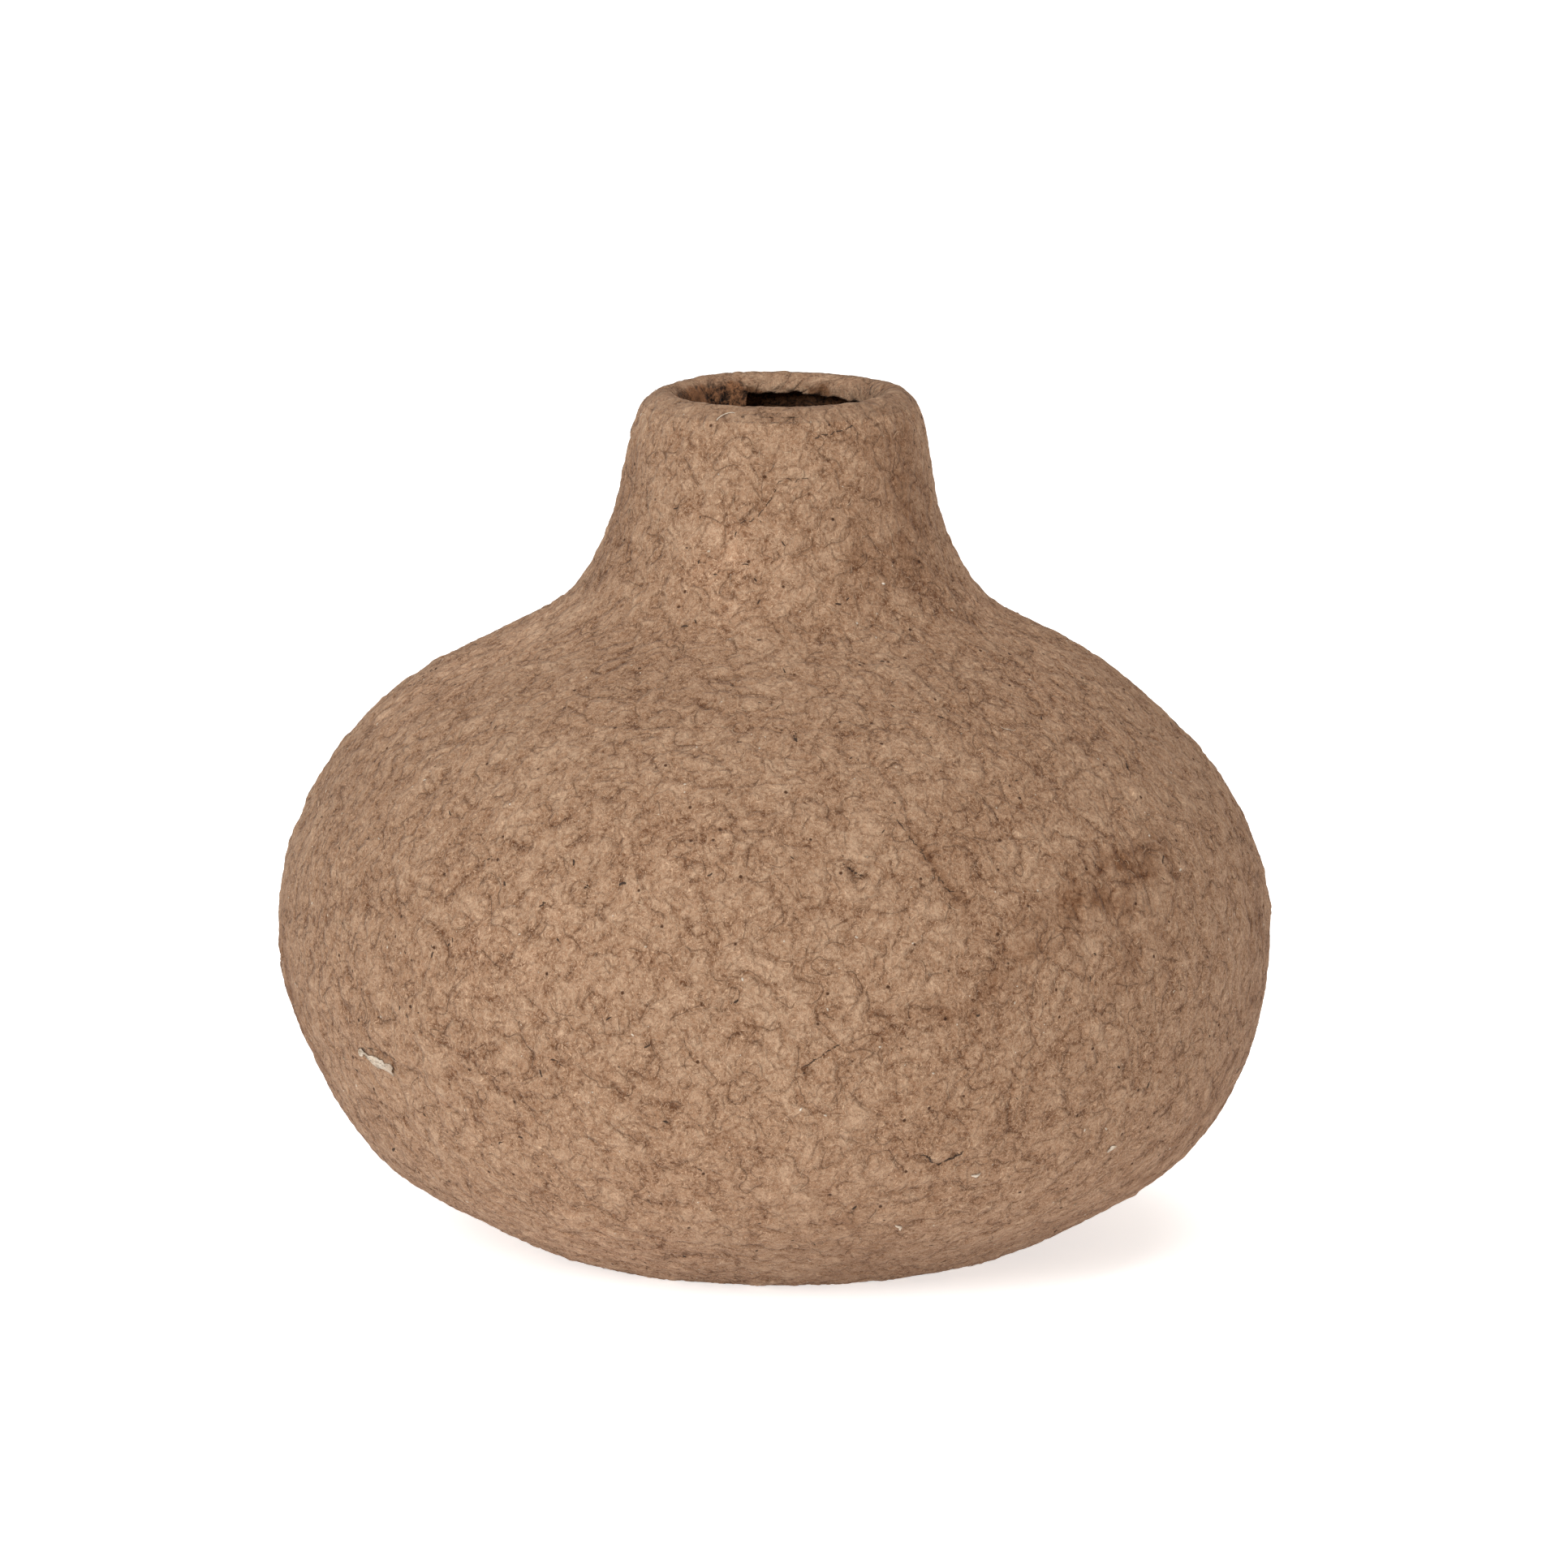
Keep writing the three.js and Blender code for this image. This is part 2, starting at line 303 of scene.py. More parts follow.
def surface_grid(along, columns, depth=0.0):
    """The plain surface on a grid of rings: [row, column, xyz]. The depth may differ by row."""
    depth = np.broadcast_to(depth, along.shape)[:, None]
    return surface_at(along[:, None], ring_angles(columns)[None], depth)


# ---------- the pulp's relief

def blobs(points, places):
    """A field of soft patches: bearing in degrees, height, reaches round and up, tilt and strength."""
    field = np.zeros(points.shape[:-1])
    for degrees, height, reach_round, reach_up, tilt, strength in places:
        across, up = unrolled(points, degrees, height)
        c, s = math.cos(math.radians(tilt)), math.sin(math.radians(tilt))
        u, v = across * c + up * s, up * c - across * s
        field += strength * np.exp(-0.5 * ((u / reach_round) ** 2 + (v / reach_up) ** 2))
    return field


# Bearings are in degrees, counted from the right of the vase towards its back: the front is -90.
# Where the pulp was patted smooth: bearing, height, reaches round and up, tilt, strength.
SMOOTH_PATCHES = [
    (-50, 22, 30, 14, 0, 0.8),
    (-20, 45, 20, 20, 0, 0.6),
    (-150, 25, 24, 12, 0, 0.4),
    (60, 60, 30, 20, 0, 0.6),
    (150, 40, 24, 18, 0, 0.5),
    (-100, 134, 34, 14, 0, 0.8),
    (-110, 70, 24, 20, 0, 0.25),
]
# Pits: bearing, height, radius, depth.
PITS = [
    (-72.5, 35.0, 0.45, 0.6), (-80.5, 82.4, 0.6, 0.7), (-112.3, 73.5, 0.6, 0.7), (-79.0, 81.2, 0.4, 0.5),
    (-104.0, 53.0, 0.6, 0.6), (-58.0, 96.0, 0.5, 0.5), (-122.0, 66.0, 0.5, 0.6), (-92.0, 64.0, 0.5, 0.6),
    (-139.5, 34.0, 0.4, 0.5), (-60.0, 118.0, 0.5, 0.4),
]
# Cracks, each the width of the dark line of painted shade along its bottom, and a line of bearings and
# heights.
CRACKS = [
    (0.5, [(-73.6, 31.2), (-72.6, 31.3), (-71.8, 30.6), (-71.3, 29.7), (-70.2, 28.9)]),
    (0.55, [(-70.5, 28.7), (-69.5, 29.5), (-68.8, 29.8), (-67.8, 31.3)]),
    (0.17, [(-72.8, 89.4), (-72.1, 86.8), (-70.9, 84.9), (-70.4, 82.2)]),
    (0.16, [(-69.5, 80.4), (-69.1, 78.4), (-67.9, 77.3)]),
    (0.26, [(-117.8, 74.4), (-117.3, 75.5)]),
    (0.34, [(-81.0, 83.0), (-79.6, 81.6), (-78.8, 81.0)]),
    (0.2, [(-131.0, 77.5), (-128.5, 79.0), (-127.0, 79.5)]),
    (0.3, [(-128.1, 79.7), (-126.6, 81.0), (-126.2, 81.7)]),
    (0.26, [(-128.3, 42.4), (-127.3, 41.6), (-126.9, 40.1)]),
    (0.16, [(-145.2, 44.2), (-142.0, 44.2), (-140.7, 43.6), (-139.2, 42.4)]),
    (0.24, [(-86.9, 48.6), (-85.8, 49.6), (-84.0, 51.5), (-82.6, 52.6)]),
    (0.24, [(-116.9, 48.7), (-115.6, 48.3), (-114.4, 47.0)]),
    (0.2, [
        (-75.7, 149.8), (-72.8, 150.1), (-69.0, 150.3), (-66.6, 150.7), (-62.4, 150.9), (-56.3, 151.8),
    ]),
    (0.16, [(-90.4, 141.7), (-86.9, 142.3), (-83.6, 142.1), (-80.9, 142.5), (-77.2, 142.5)]),
    (0.15, [
        (-102.9, 134.8), (-99.7, 135.1), (-96.8, 135.8), (-93.9, 137.7), (-91.0, 140.0), (-90.4, 141.0),
    ]),
    (0.12, [(-98.2, 153.4), (-89.5, 153.2), (-77.5, 153.2)]),
]
CRACK_HALF_WIDTH_MM = 0.38  # of the dent that every crack lies in
CRACK_STEEPNESS, DEEPEST_CRACK_MM = 1.4, 0.55
LIP_SMOOTH_HEIGHTS_MM = (148.0, 152.0)
# The bumps of the pulp: how wide and how high each kind is. The swells have their seeds too.
SWELLS = ((28, 0.2, 11), (12, 0.16, 12))
LUMPS_MM, KNOBS_MM, GRAIN_MM = (5.2, 0.52), (2.9, 0.35), (1.5, 0.18)
CREASE_MM = 0.16


def unrolled(points, degrees, height):
    """How far round and up the points are from a place given by its bearing and height, in mm."""
    bearing = np.arctan2(points[..., 1], points[..., 0])
    turn = (bearing - math.radians(degrees) + math.pi) % TAU - math.pi
    return turn * np.hypot(points[..., 0], points[..., 1]), points[..., 2] - height


def line_field(points, line, half_width):
    """1 on a line of bearings and heights, fading like a bell over its half width."""
    radius = np.hypot(points[..., 0], points[..., 1])
    field = np.zeros(points.shape[:-1])
    for start, end in zip(line, line[1:]):
        across, up = unrolled(points, *start)
        run, rise = math.radians(end[0] - start[0]) * radius, end[1] - start[1]
        share = np.clip((across * run + up * rise) / (run ** 2 + rise ** 2), 0, 1)
        away = np.hypot(across - share * run, up - share * rise)
        field = np.maximum(field, np.exp(-0.5 * (away / half_width) ** 2))
    return field


def dents(points):
    """Depth in mm of the pits and the cracks, which are unevenly deep."""
    depth = np.zeros(points.shape[:-1])
    for degrees, height, radius, pit_depth in PITS:
        across, up = unrolled(points, degrees, height)
        depth += pit_depth * np.exp(-0.5 * (across ** 2 + up ** 2) / radius ** 2)
    cracks = np.max([
        min(CRACK_STEEPNESS * width, DEEPEST_CRACK_MM) * line_field(points, line, CRACK_HALF_WIDTH_MM)
        for width, line in CRACKS
    ], axis=0)
    return depth + cracks * (0.7 + 0.6 * noise(points, 1.2, 48))


def pulp_relief(points):
    """Height of the pulp's lumps, wrinkles and pits in mm, and how deep in a hollow each point is, which the
    material paints as shade.
    """
    soft = np.clip(blobs(points, SMOOTH_PATCHES), 0, 0.85)
    soft = np.maximum(soft, 0.75 * smoothstep(*LIP_SMOOTH_HEIGHTS_MM, points[..., 2]))
    calm = 1 - 0.7 * soft
    swell = sum(high * noise(points, wide, seed) for wide, high, seed in SWELLS)
    bent = warped(points, 3.6, 1.2, 21)
    lumps = np.abs(noise(bent, LUMPS_MM[0], 31))
    knobs = np.abs(noise(bent, KNOBS_MM[0], 32))
    grain = np.abs(noise(warped(points, 1.6, 0.5, 24), GRAIN_MM[0], 33))
    patchy = smoothstep(-0.5, 0.5, noise(points, 18, 34))
    texture = LUMPS_MM[1] * lumps * (0.4 + 0.8 * patchy) + KNOBS_MM[1] * knobs + GRAIN_MM[1] * grain
    texture -= texture.mean()
    creases = np.maximum(
        np.exp(-(lumps / 0.07) ** 2) * (0.3 + 0.7 * patchy),
        0.75 * np.exp(-(knobs / 0.09) ** 2),
    )
    broken = smoothstep(-0.15, 0.3, noise(points, 3.4, 45))
    creases *= broken * calm
    dented = dents(points)
    relief = swell + calm * texture - CREASE_MM * creases - dented
    # The hollowness is painted shade: the material darkens the hollows, creases, pits and cracks by it.
    hollow = 0.36 - 0.72 * calm * texture + 0.55 * creases + 1.2 * dented
    return relief, np.clip(hollow, 0, 1)


# ---------- meshes

def placed(name, data):
    """A new object with that data, linked to the scene."""
    made = bpy.data.objects.new(name, data)
    bpy.context.scene.collection.objects.link(made)
    return made


def add_layer(mesh, key, values):
    """Keeps one value for each point of a mesh."""
    mesh.attributes.new(key, "FLOAT", "POINT").data.foreach_set("value", values.astype(np.float32))


def smooth_shaded(mesh):
    mesh.polygons.foreach_set("use_smooth", np.ones(len(mesh.polygons), bool))


def ring_directions(angles):
    """The level unit vectors that point out at those angles."""
    return np.stack([np.cos(angles), np.sin(angles), 0 * angles], axis=-1)


def mesh_from_rings(name, parts, poles=False, **layers):
    """A closed piece from parts that follow each other round its section.

    Each part is a stack of rings of points in mm, [row, column, xyz]. With poles, one point closes each end.
    Without, the last ring joins the first. A layer has a number or an array [row, column] for each part, and
    is kept as a point attribute.
    """
    points = np.concatenate(parts)
    count, columns = points.shape[:2]
    points = points.reshape(-1, 3)
    values = {}
    for key, levels in layers.items():
        spread = [np.broadcast_to(level, part.shape[:2]) for level, part in zip(levels, parts)]
        values[key] = np.concatenate(spread).reshape(-1)
    index = np.arange(count * columns).reshape(count, columns)
    lower, upper = (index[:-1], index[1:]) if poles else (index, np.roll(index, -1, axis=0))
    quads = np.stack([lower, np.roll(lower, -1, axis=1), np.roll(upper, -1, axis=1), upper], axis=-1)
    quads = quads.reshape(-1, 4)
    triangles = []
    for ring, order in ((index[0], -1), (index[-1], 1)) if poles else ():
        centre = len(points)
        points = np.vstack([points, points[ring].mean(axis=0)])
        values = {key: np.append(v, v[ring].mean()) for key, v in values.items()}
        triangles += [(a, b, centre)[::order] for a, b in zip(ring, np.roll(ring, -1))]
    triangles = np.array(triangles, int).reshape(-1, 3)
    loops = np.concatenate([quads.reshape(-1), triangles.reshape(-1)])
    sizes = np.concatenate([np.full(len(quads), 4), np.full(len(triangles), 3)])
    starts = np.concatenate([[0], np.cumsum(sizes)[:-1]])
    mesh = bpy.data.meshes.new(name)
    mesh.vertices.add(len(points))
    mesh.vertices.foreach_set("co", (points * MM).astype(np.float32).reshape(-1))
    mesh.loops.add(len(loops))
    mesh.loops.foreach_set("vertex_index", loops.astype(np.int32))
    mesh.polygons.add(len(sizes))
    mesh.polygons.foreach_set("loop_start", starts.astype(np.int32))
    smooth_shaded(mesh)
    mesh.update(calc_edges=True)
    for key, level in values.items():
        add_layer(mesh, key, level)
    mesh.validate()
    return placed(name, mesh)


def finish_piece(piece, material, slot, *nodes):
    """Gives a piece its material, puts it under the root body, and hides the CAD nodes it stands in for."""
    piece.data.materials.append(material)
    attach(piece, "root")
    if nodes:
        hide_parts(*nodes)


# ---------- materials

class Nodes:
    """Builds a node tree with short calls such as nodes.math("ADD", a, b)."""

    def __init__(self, material):
        material.use_nodes = True
        self.tree = material.node_tree
        self.tree.nodes.clear()

    def add(self, kind, inputs=None, **settings):
        node = self.tree.nodes.new("ShaderNode" + kind)
        for key, value in settings.items():
            setattr(node, key, value)
        for key, value in (inputs or {}).items():
            if isinstance(value, bpy.types.NodeSocket):
                self.tree.links.new(value, node.inputs[key])
            else:
                node.inputs[key].default_value = value
        return node

    def math(self, operation, *values):
        return self.add("Math", dict(enumerate(values)), operation=operation).outputs[0]

    def ramp(self, value, low, high, out_low=0.0, out_high=1.0):
        inputs = {"Value": value, "From Min": low, "From Max": high, "To Min": out_low, "To Max": out_high}
        return self.add("MapRange", inputs, interpolation_type="SMOOTHSTEP").outputs[0]

    def noise(self, vector, scale, detail=2.0, roughness=0.5):
        inputs = {"Vector": vector, "Scale": scale, "Detail": detail, "Roughness": roughness}
        return self.add("TexNoise", inputs).outputs[0]

    def mix(self, share, a, b, blend="MIX"):
        inputs = {0: share, 6: a, 7: b}  # the sockets that serve colours
        return self.add("Mix", inputs, data_type="RGBA", blend_type=blend).outputs[2]

    def attribute(self, name):
        return self.add("Attribute", attribute_name=name).outputs["Fac"]


def linear(*srgb):
    """A colour given as 0 to 255 sRGB, as the linear RGBA that a socket takes."""
    parts = [v / 255 for v in srgb]
    parts = [p / 12.92 if p <= 0.04045 else ((p + 0.055) / 1.055) ** 2.4 for p in parts]
    return (*parts, 1.0)


FIBRE_SIZE = (0.0013, 0.00022, 0.00022)  # metres
FIBRE_TURNS = [  # the ways that fibres lie, spread evenly over all directions
    (0.0, 0.0, 0.0), (0.0, 0.0, 1.05), (0.0, 0.0, 2.1),
    (0.0, 0.9, 0.5), (0.0, -0.9, 1.57), (0.0, 0.9, 2.6), (0.0, 1.57, 0.0),
]


def fibres(nodes, where, seed, low, high):
    """Streaks as long and wide as paper fibres, lying every way: 1 on a fibre, 0 between."""
    top = 0.0
    for i, turn in enumerate(FIBRE_TURNS):
        place = (0.013 * (seed + i), 0.029 * (seed - i), 0.017 * seed)
        turned = nodes.add("Mapping", {
            "Vector": where, "Location": place, "Rotation": turn, "Scale": FIBRE_SIZE,
        }, vector_type="TEXTURE")
        top = nodes.math("MAXIMUM", top, nodes.noise(turned.outputs[0], 1.0, detail=0.0))
    return nodes.ramp(top, low, high)


def specks(nodes, where, spacing, radius):
    """Round specks of a radius, scattered through space at a mean spacing, both in metres."""
    near = nodes.add("TexVoronoi", {"Vector": where, "Scale": 1 / spacing}).outputs["Distance"]
    edge = radius / spacing
    return nodes.ramp(near, 0.6 * edge, 1.1 * edge, 1.0, 0.0)


def crumples(nodes, where, straight, scale, gap_scale):
    """Crumpled pulp: 1 on each pillow and 0 at its edges, and fine broken lines along the edges."""
    rise = nodes.math("ABSOLUTE", nodes.math("SUBTRACT", nodes.noise(where, scale, detail=1.0), 0.5))
    gaps = nodes.ramp(nodes.noise(straight, gap_scale, detail=0.0), 0.46, 0.58)
    line = nodes.math("MULTIPLY", nodes.ramp(rise, 0.002, 0.010, 1.0, 0.0), gaps)
    return nodes.ramp(rise, 0.0, 0.11), line


def pushed(nodes, where, scale, detail, distance):
    """Places pushed about by noise, so that what is drawn on them curls."""
    inputs = {"Vector": where, "Scale": scale, "Detail": detail}
    push = nodes.add("TexNoise", inputs).outputs["Color"]
    inputs = {0: push, 1: (distance,) * 3, 2: where}
    return nodes.add("VectorMath", inputs, operation="MULTIPLY_ADD").outputs[0]


# The lining's pale tone is its own brown paper; its dark tone is painted shade for the dark inside of the
# mouth, under the lip and in the vase.
LINING_PALE, LINING_PAINTED_SHADE = linear(122, 84, 58), linear(36, 24, 17)
# What the colour is multiplied by where the stain and painted light layer is 0, 1 and -1: 1 darkens
# stains and painted shade, -1 lightens pale patches and painted light.
UNSTAINED, STAINED_AND_SHADED, BLEACHED_AND_LIT = (1, 1, 1, 1), (0.55, 0.44, 0.36, 1), (1.35, 1.38, 1.42, 1)


def pulp_material(name, *srgb, roughness=0.93, fibre=1.0):
    """Felted paper in three sRGB tones, pale to dark, with fibres and pits, and painted shade: dark hollows,
    curls and creases, and lumps paler in the middle than at their edges.
    """
    pale, middle, dark = (linear(*tone) for tone in srgb)
    material = bpy.data.materials.new(name)
    nodes = Nodes(material)
    where = nodes.add("TexCoord").outputs["Object"]
    curled = pushed(nodes, where, 450.0, 1.0, 0.0014)
    crumpled = pushed(nodes, where, 160.0, 0.0, 0.0035)
    hollow, stain, lining = (nodes.attribute(key) for key in ("hollow", "stain", "lining"))

    pillow, crease = crumples(nodes, crumpled, where, 150.0, 300.0)
    knob, curl = crumples(nodes, crumpled, where, 340.0, 480.0)
    cloud = nodes.noise(where, 38.0, detail=1.0)
    patch = nodes.noise(where, 120.0, detail=2.0, roughness=0.6)
    lump = nodes.noise(curled, 420.0, detail=2.0, roughness=0.6)
    grain = nodes.noise(curled, 1500.0, detail=2.0, roughness=0.7)
    tone = nodes.math("MULTIPLY_ADD", cloud, 0.3, -0.15)
    for field, weight in ((patch, 0.35), (lump, 0.5), (grain, 1.1)):
        tone = nodes.math("MULTIPLY_ADD", field, weight, nodes.math("SUBTRACT", tone, 0.5 * weight))
    # Painted shade: each pillow and knob is paler in its middle and darker at its edges, and the hollows are
    # darker.
    for field, weight in ((pillow, 0.12), (knob, 0.10), (hollow, -0.26)):
        tone = nodes.math("MULTIPLY_ADD", field, weight, tone)
    tone = nodes.math("ADD", tone, 0.47)

    pale_fibres = fibres(nodes, curled, 3, 0.70, 0.78)
    dark_fibres = fibres(nodes, curled, 11, 0.72, 0.80)
    pits = specks(nodes, where, 0.0044, 0.00034)

    colour = nodes.mix(nodes.ramp(tone, 0.1, 0.5), dark, middle)
    colour = nodes.mix(nodes.ramp(tone, 0.38, 0.95), colour, pale)
    bright = tuple(min(1.0, 1.5 * c) for c in pale[:3]) + (1.0,)
    deep = tuple(0.7 * c for c in dark[:3]) + (1.0,)
    # The curl and crease lines are painted shade: dark lines along the creases between the lumps.
    marks = (
        (dark_fibres, 0.4, dark), (pale_fibres, 0.42, bright), (curl, 0.28, dark),
        (crease, 0.42, deep), (pits, 1.0, deep),
    )
    for mark, strength, ink in marks:
        colour = nodes.mix(nodes.math("MULTIPLY", mark, strength * fibre), colour, ink)
    lining_colour = nodes.mix(nodes.ramp(tone, 0.3, 0.72), LINING_PAINTED_SHADE, LINING_PALE)
    colour = nodes.mix(lining, colour, lining_colour)
    # Stains and painted shade darken the colour, pale patches and painted light lighten it.
    shade = nodes.mix(nodes.ramp(stain, 0.0, 1.0), UNSTAINED, STAINED_AND_SHADED)
    shade = nodes.mix(nodes.ramp(stain, 0.0, -1.0), shade, BLEACHED_AND_LIT)
    colour = nodes.mix(1.0, colour, shade, blend="MULTIPLY")
    shader = nodes.add("BsdfPrincipled", {
        "Base Color": colour, "Roughness": roughness, "Specular IOR Level": 0.1,
        "Sheen Weight": 0.045, "Sheen Roughness": 0.4,
    })
    height = nodes.math("MULTIPLY", pale_fibres, 0.5)
    reliefs = (
        (pillow, 1.5), (knob, 0.9), (crease, -0.7), (curl, -0.4), (lump, 1.8), (grain, 1.2), (pits, -1.4),
    )
    for field, weight in reliefs:
        height = nodes.math("MULTIPLY_ADD", field, weight, height)
    bump = nodes.add("Bump", {"Height": height, "Strength": 0.9, "Distance": 0.0003})
    nodes.tree.links.new(bump.outputs[0], shader.inputs["Normal"])
    nodes.add("OutputMaterial", {"Surface": shader.outputs[0]})
    return material


PULP = pulp_material("pulp", (178, 148, 122), (142, 109, 84), (94, 61, 40))
LIP_PAPER = pulp_material(
    "lip_paper", (166, 137, 112), (136, 105, 82), (86, 60, 43), roughness=0.9, fibre=0.7)
# The inner shells' paper is reddish brown, and its darker tones are painted shade, near black, for the
# inside of the vase.
SHADED_SHELL_PAPER = pulp_material("shaded_shell_paper", (118, 78, 52), (72, 47, 33), (28, 18, 13))
BAND_PAPER = pulp_material("band_paper", (168, 134, 104), (146, 114, 88), (96, 70, 52), fibre=0.6)
LOOSE_FIBRE = pulp_material(
    "loose_fibre", (192, 163, 136), (176, 146, 120), (150, 120, 96), fibre=0.3)
DARK_BIT = pulp_material("dark_bit", (88, 68, 54), (62, 47, 38), (38, 28, 23), fibre=0.3)
WHITE_PAPER = pulp_material(
    "white_paper", (216, 203, 188), (198, 180, 160), (160, 134, 108), fibre=0.3)

# ---------- pieces

# Darker and, where negative, paler patches of the pulp: bearing, height, reaches round and up, tilt,
# strength. Most are the pulp's own stains, but the pale patches at bearings -119 and -168 are painted light,
# and the dark one at bearing -173 and the dark ones low on the right, at bearings -35 to -2, are painted
# shade.
STAINS_AND_PAINTED_LIGHT = [
    (-30, 140, 6, 12, 0, 0.6), (-36, 126, 4, 5, 0, 0.3), (-48, 147, 4, 4, 0, 0.3),
    (-61, 131, 7, 8, 0, 0.5), (-158, 135, 5, 8, 0, 0.55), (-128, 133, 2, 6, 0, 0.2),
    (-106, 127, 9, 8, 0, -0.75), (-12, 116, 8, 10, 0, -0.6), (-35, 103, 8, 6, 0, -0.45),
    (-168, 107, 13, 9, 0, -0.75), (-104, 87, 8, 6, 0, -0.2), (-121, 67, 15, 11, 0, -0.42),
    (-127, 118, 4, 3, 0, 0.2), (-138, 43, 5, 6, 0, 0.25), (-106, 45, 8, 4, 10, 0.15),
    (-58, 56, 7, 4, 30, -0.25), (-45, 67, 11, 7, 30, 0.45), (-72, 60, 4, 4, 0, 0.25),
    (-35, 60, 35, 30, 0, 0.08), (-13, 59, 10, 14, 0, 0.4), (-22, 28, 12, 14, 0, 0.3),
    (-2, 30, 12, 16, 0, 0.5), (-32, 16, 14, 8, 0, 0.35), (-173, 40, 14, 19, 0, 0.8),
    (-101, 79, 12, 12, 0, -0.2), (-81, 12, 13, 13, 0, 0.5), (-119, 8, 26, 9, 0, -0.65),
    (-160, 154, 2.2, 1.6, 0, -0.6),
]
# Long stains, each a line of bearings and heights, a half width and a strength.
STAIN_BANDS = [
    ([(-69.8, 56.5), (-66.0, 60.5), (-59.2, 67.3)], 2.0, 0.5),
    ([(-59.2, 67.3), (-52.5, 74.8), (-45.2, 77.9), (-35.7, 79.3)], 3.2, 0.6),
    ([(-72.3, 88.5), (-70.2, 83.0), (-68.1, 76.3), (-66.5, 73.0)], 1.1, 0.5),
]
# The pulp is made darker towards the bottom: by how much, and up to what height.
FOOT_DARKENING, FOOT_DARKENING_HEIGHT_MM = 0.2, 12.0
GLUED = 0.6  # the hollowness of a face that is glued to another piece, and how much it shows the lining

LIP_JOINT_ALONG = along_at(COAT_TOP_MM - 0.2)  # just below the skin's top edge
BASE_TOP_ALONG, BELLY_TOP_ALONG, DOME_TOP_ALONG = (
    along_at(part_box(name)[1][2] / MM) for name in ("base_dish", "belly_ring", "upper_dome")
)
GLUE_MM = 0.3  # the gap between two shells
BAND_MARGIN_MM = 3  # how far past a band the skin stays thin


def band_reach(node):
    """The stretch of the outline that a joint band covers."""
    low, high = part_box(node)
    return along_at(low[2] / MM), along_at(high[2] / MM)


BAND_REACHES = [band_reach("base_joint_band"), band_reach("belly_joint_band")]


def relief_surface(along, columns):
    """The pulp surface with its relief, and the layers that its material reads."""
    points, normals = surface_grid(along, columns)
    relief, hollow = pulp_relief(points)
    points = points + relief[..., None] * normals
    points[..., 2] = np.maximum(points[..., 2], 0.0)
    stain = blobs(points, STAINS_AND_PAINTED_LIGHT)
    for line, half_width, strength in STAIN_BANDS:
        stain += strength * line_field(points, line, half_width) * (0.4 + 1.5 * hollow)
    stain = np.clip(stain * (0.8 + 0.6 * noise(points, 5.0, 71)), -1, 1)
    # Darker towards the bottom.
    stain += FOOT_DARKENING * smoothstep(FOOT_DARKENING_HEIGHT_MM, 0, points[..., 2])
    return points, hollow, stain


def make_coat():
    """The skin of pulp: its lumpy outside, and a plain back that leaves room for the bands."""
    along = np.linspace(0.0, LIP_JOINT_ALONG, int(LIP_JOINT_ALONG / ROW_STEP_MM))
    front, hollow, stain = relief_surface(along, COLUMNS)
    back_along = np.linspace(LIP_JOINT_ALONG, 0.0, HIDDEN_ROWS)
    depth = np.full(HIDDEN_ROWS, SKIN_MM)
    for low, high in BAND_REACHES:
        over_band = (back_along > low - BAND_MARGIN_MM) & (back_along < high + BAND_MARGIN_MM)
        depth[over_band] = SKIN_OVER_BAND_MM
    back, _ = surface_grid(back_along, COLUMNS, depth)
    back[..., 2] = np.maximum(back[..., 2], 0.0)
    piece = mesh_from_rings("pulp_skin", [front, back], hollow=[hollow, GLUED], stain=[stain, 0])
    finish_piece(piece, PULP, "pulp_skin", "pulp_coat")


# The lip's turned-in edge: bearings from 0 to 360, and how far the edge is lifted at each.
EDGE_LIFTS_MM = [
    (0, -0.4), (12, -0.1), (30, 0.1), (46, -0.3), (62, -0.2),
    (80, 0.8), (92, 0.3), (112, 0.7), (180, 0.4), (360, -0.4),
]
EDGE_RAGGED_MM = 0.5
# At the back left a flap of the lining bulges out below the edge.
FLAP_BEARINGS, FLAP_SOFTNESS, FLAP_DROP_MM = (113.0, 180.0), 4.0, 4.4
FLAP_UNDERSIDE_DROP_MM = 3.4
# The lip's rows run from its joint (0) over the crest to the turned-in edge (1). Where on them it turns in,
# where its lining starts to show, and where its edge gets dirty:
TURN_IN, LINING_SHARES, DIRT_SHARES = 0.66, (0.66, 0.73), (0.84, 1.05)
# Painted light: the far side of the turned-in face, which faces the lamps, is painted paler:
# by how much, and on which rows that sets in.
FAR_FACE_PAINTED_LIGHT, FAR_FACE_LIGHT_SHARES = 0.7, (0.5, 0.62)
LIP_ROW_STEP_MM = 0.35
# The rings that close the lip's hidden underside: radius, and height above the edge.
LIP_UNDERSIDE = [(18.9, 2.7), (20.4, 2.6), (22.0, 1.6), (23.1, -0.4), (23.4, -2.5), (23.6, -1.6)]
LIP_EDGE_HEIGHT_MM = 150.2


